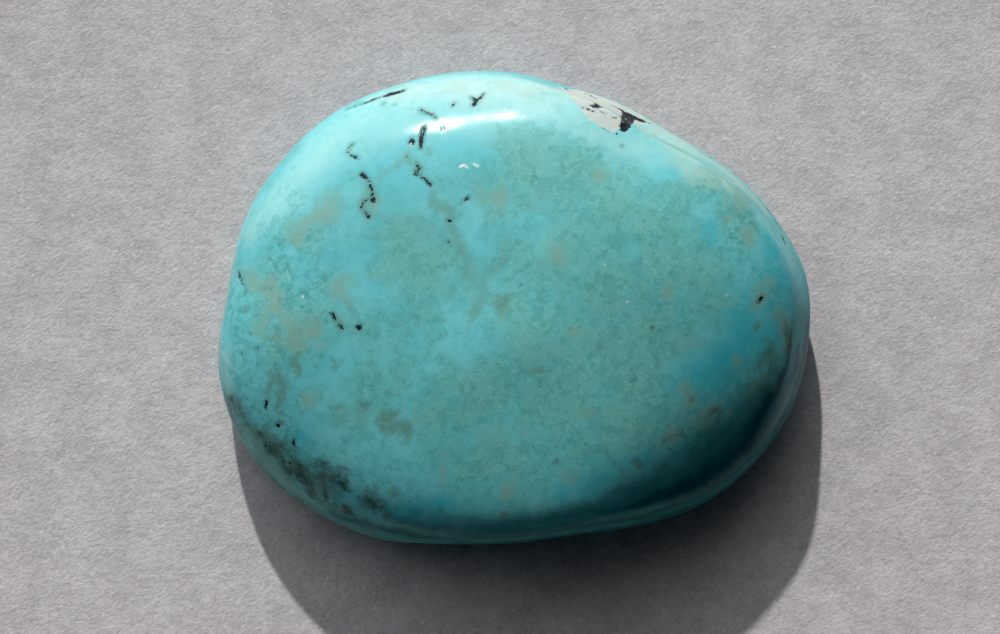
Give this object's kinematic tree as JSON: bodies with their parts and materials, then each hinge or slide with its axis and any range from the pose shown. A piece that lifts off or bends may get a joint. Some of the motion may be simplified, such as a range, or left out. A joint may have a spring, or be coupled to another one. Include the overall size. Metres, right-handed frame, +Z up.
{
  "type": "turquoise nugget",
  "caption": "Polished freeform turquoise pebble with a domed crown, a low girdle bevel and a flat base to rest or glue it on",
  "frame": {"origin": "on the flat base, straight below the middle of the stone's bounding box", "axes": "+X along the stone's longest side, +Y across it toward the bright upper shoulder, +Z up through the crown"},
  "size_m": [0.0506, 0.041, 0.0154],
  "materials": {
    "turquoise": "polished"
  },
  "bodies": {
    "root": {"turquoise_nugget": "turquoise"}
  },
  "joints": []
}
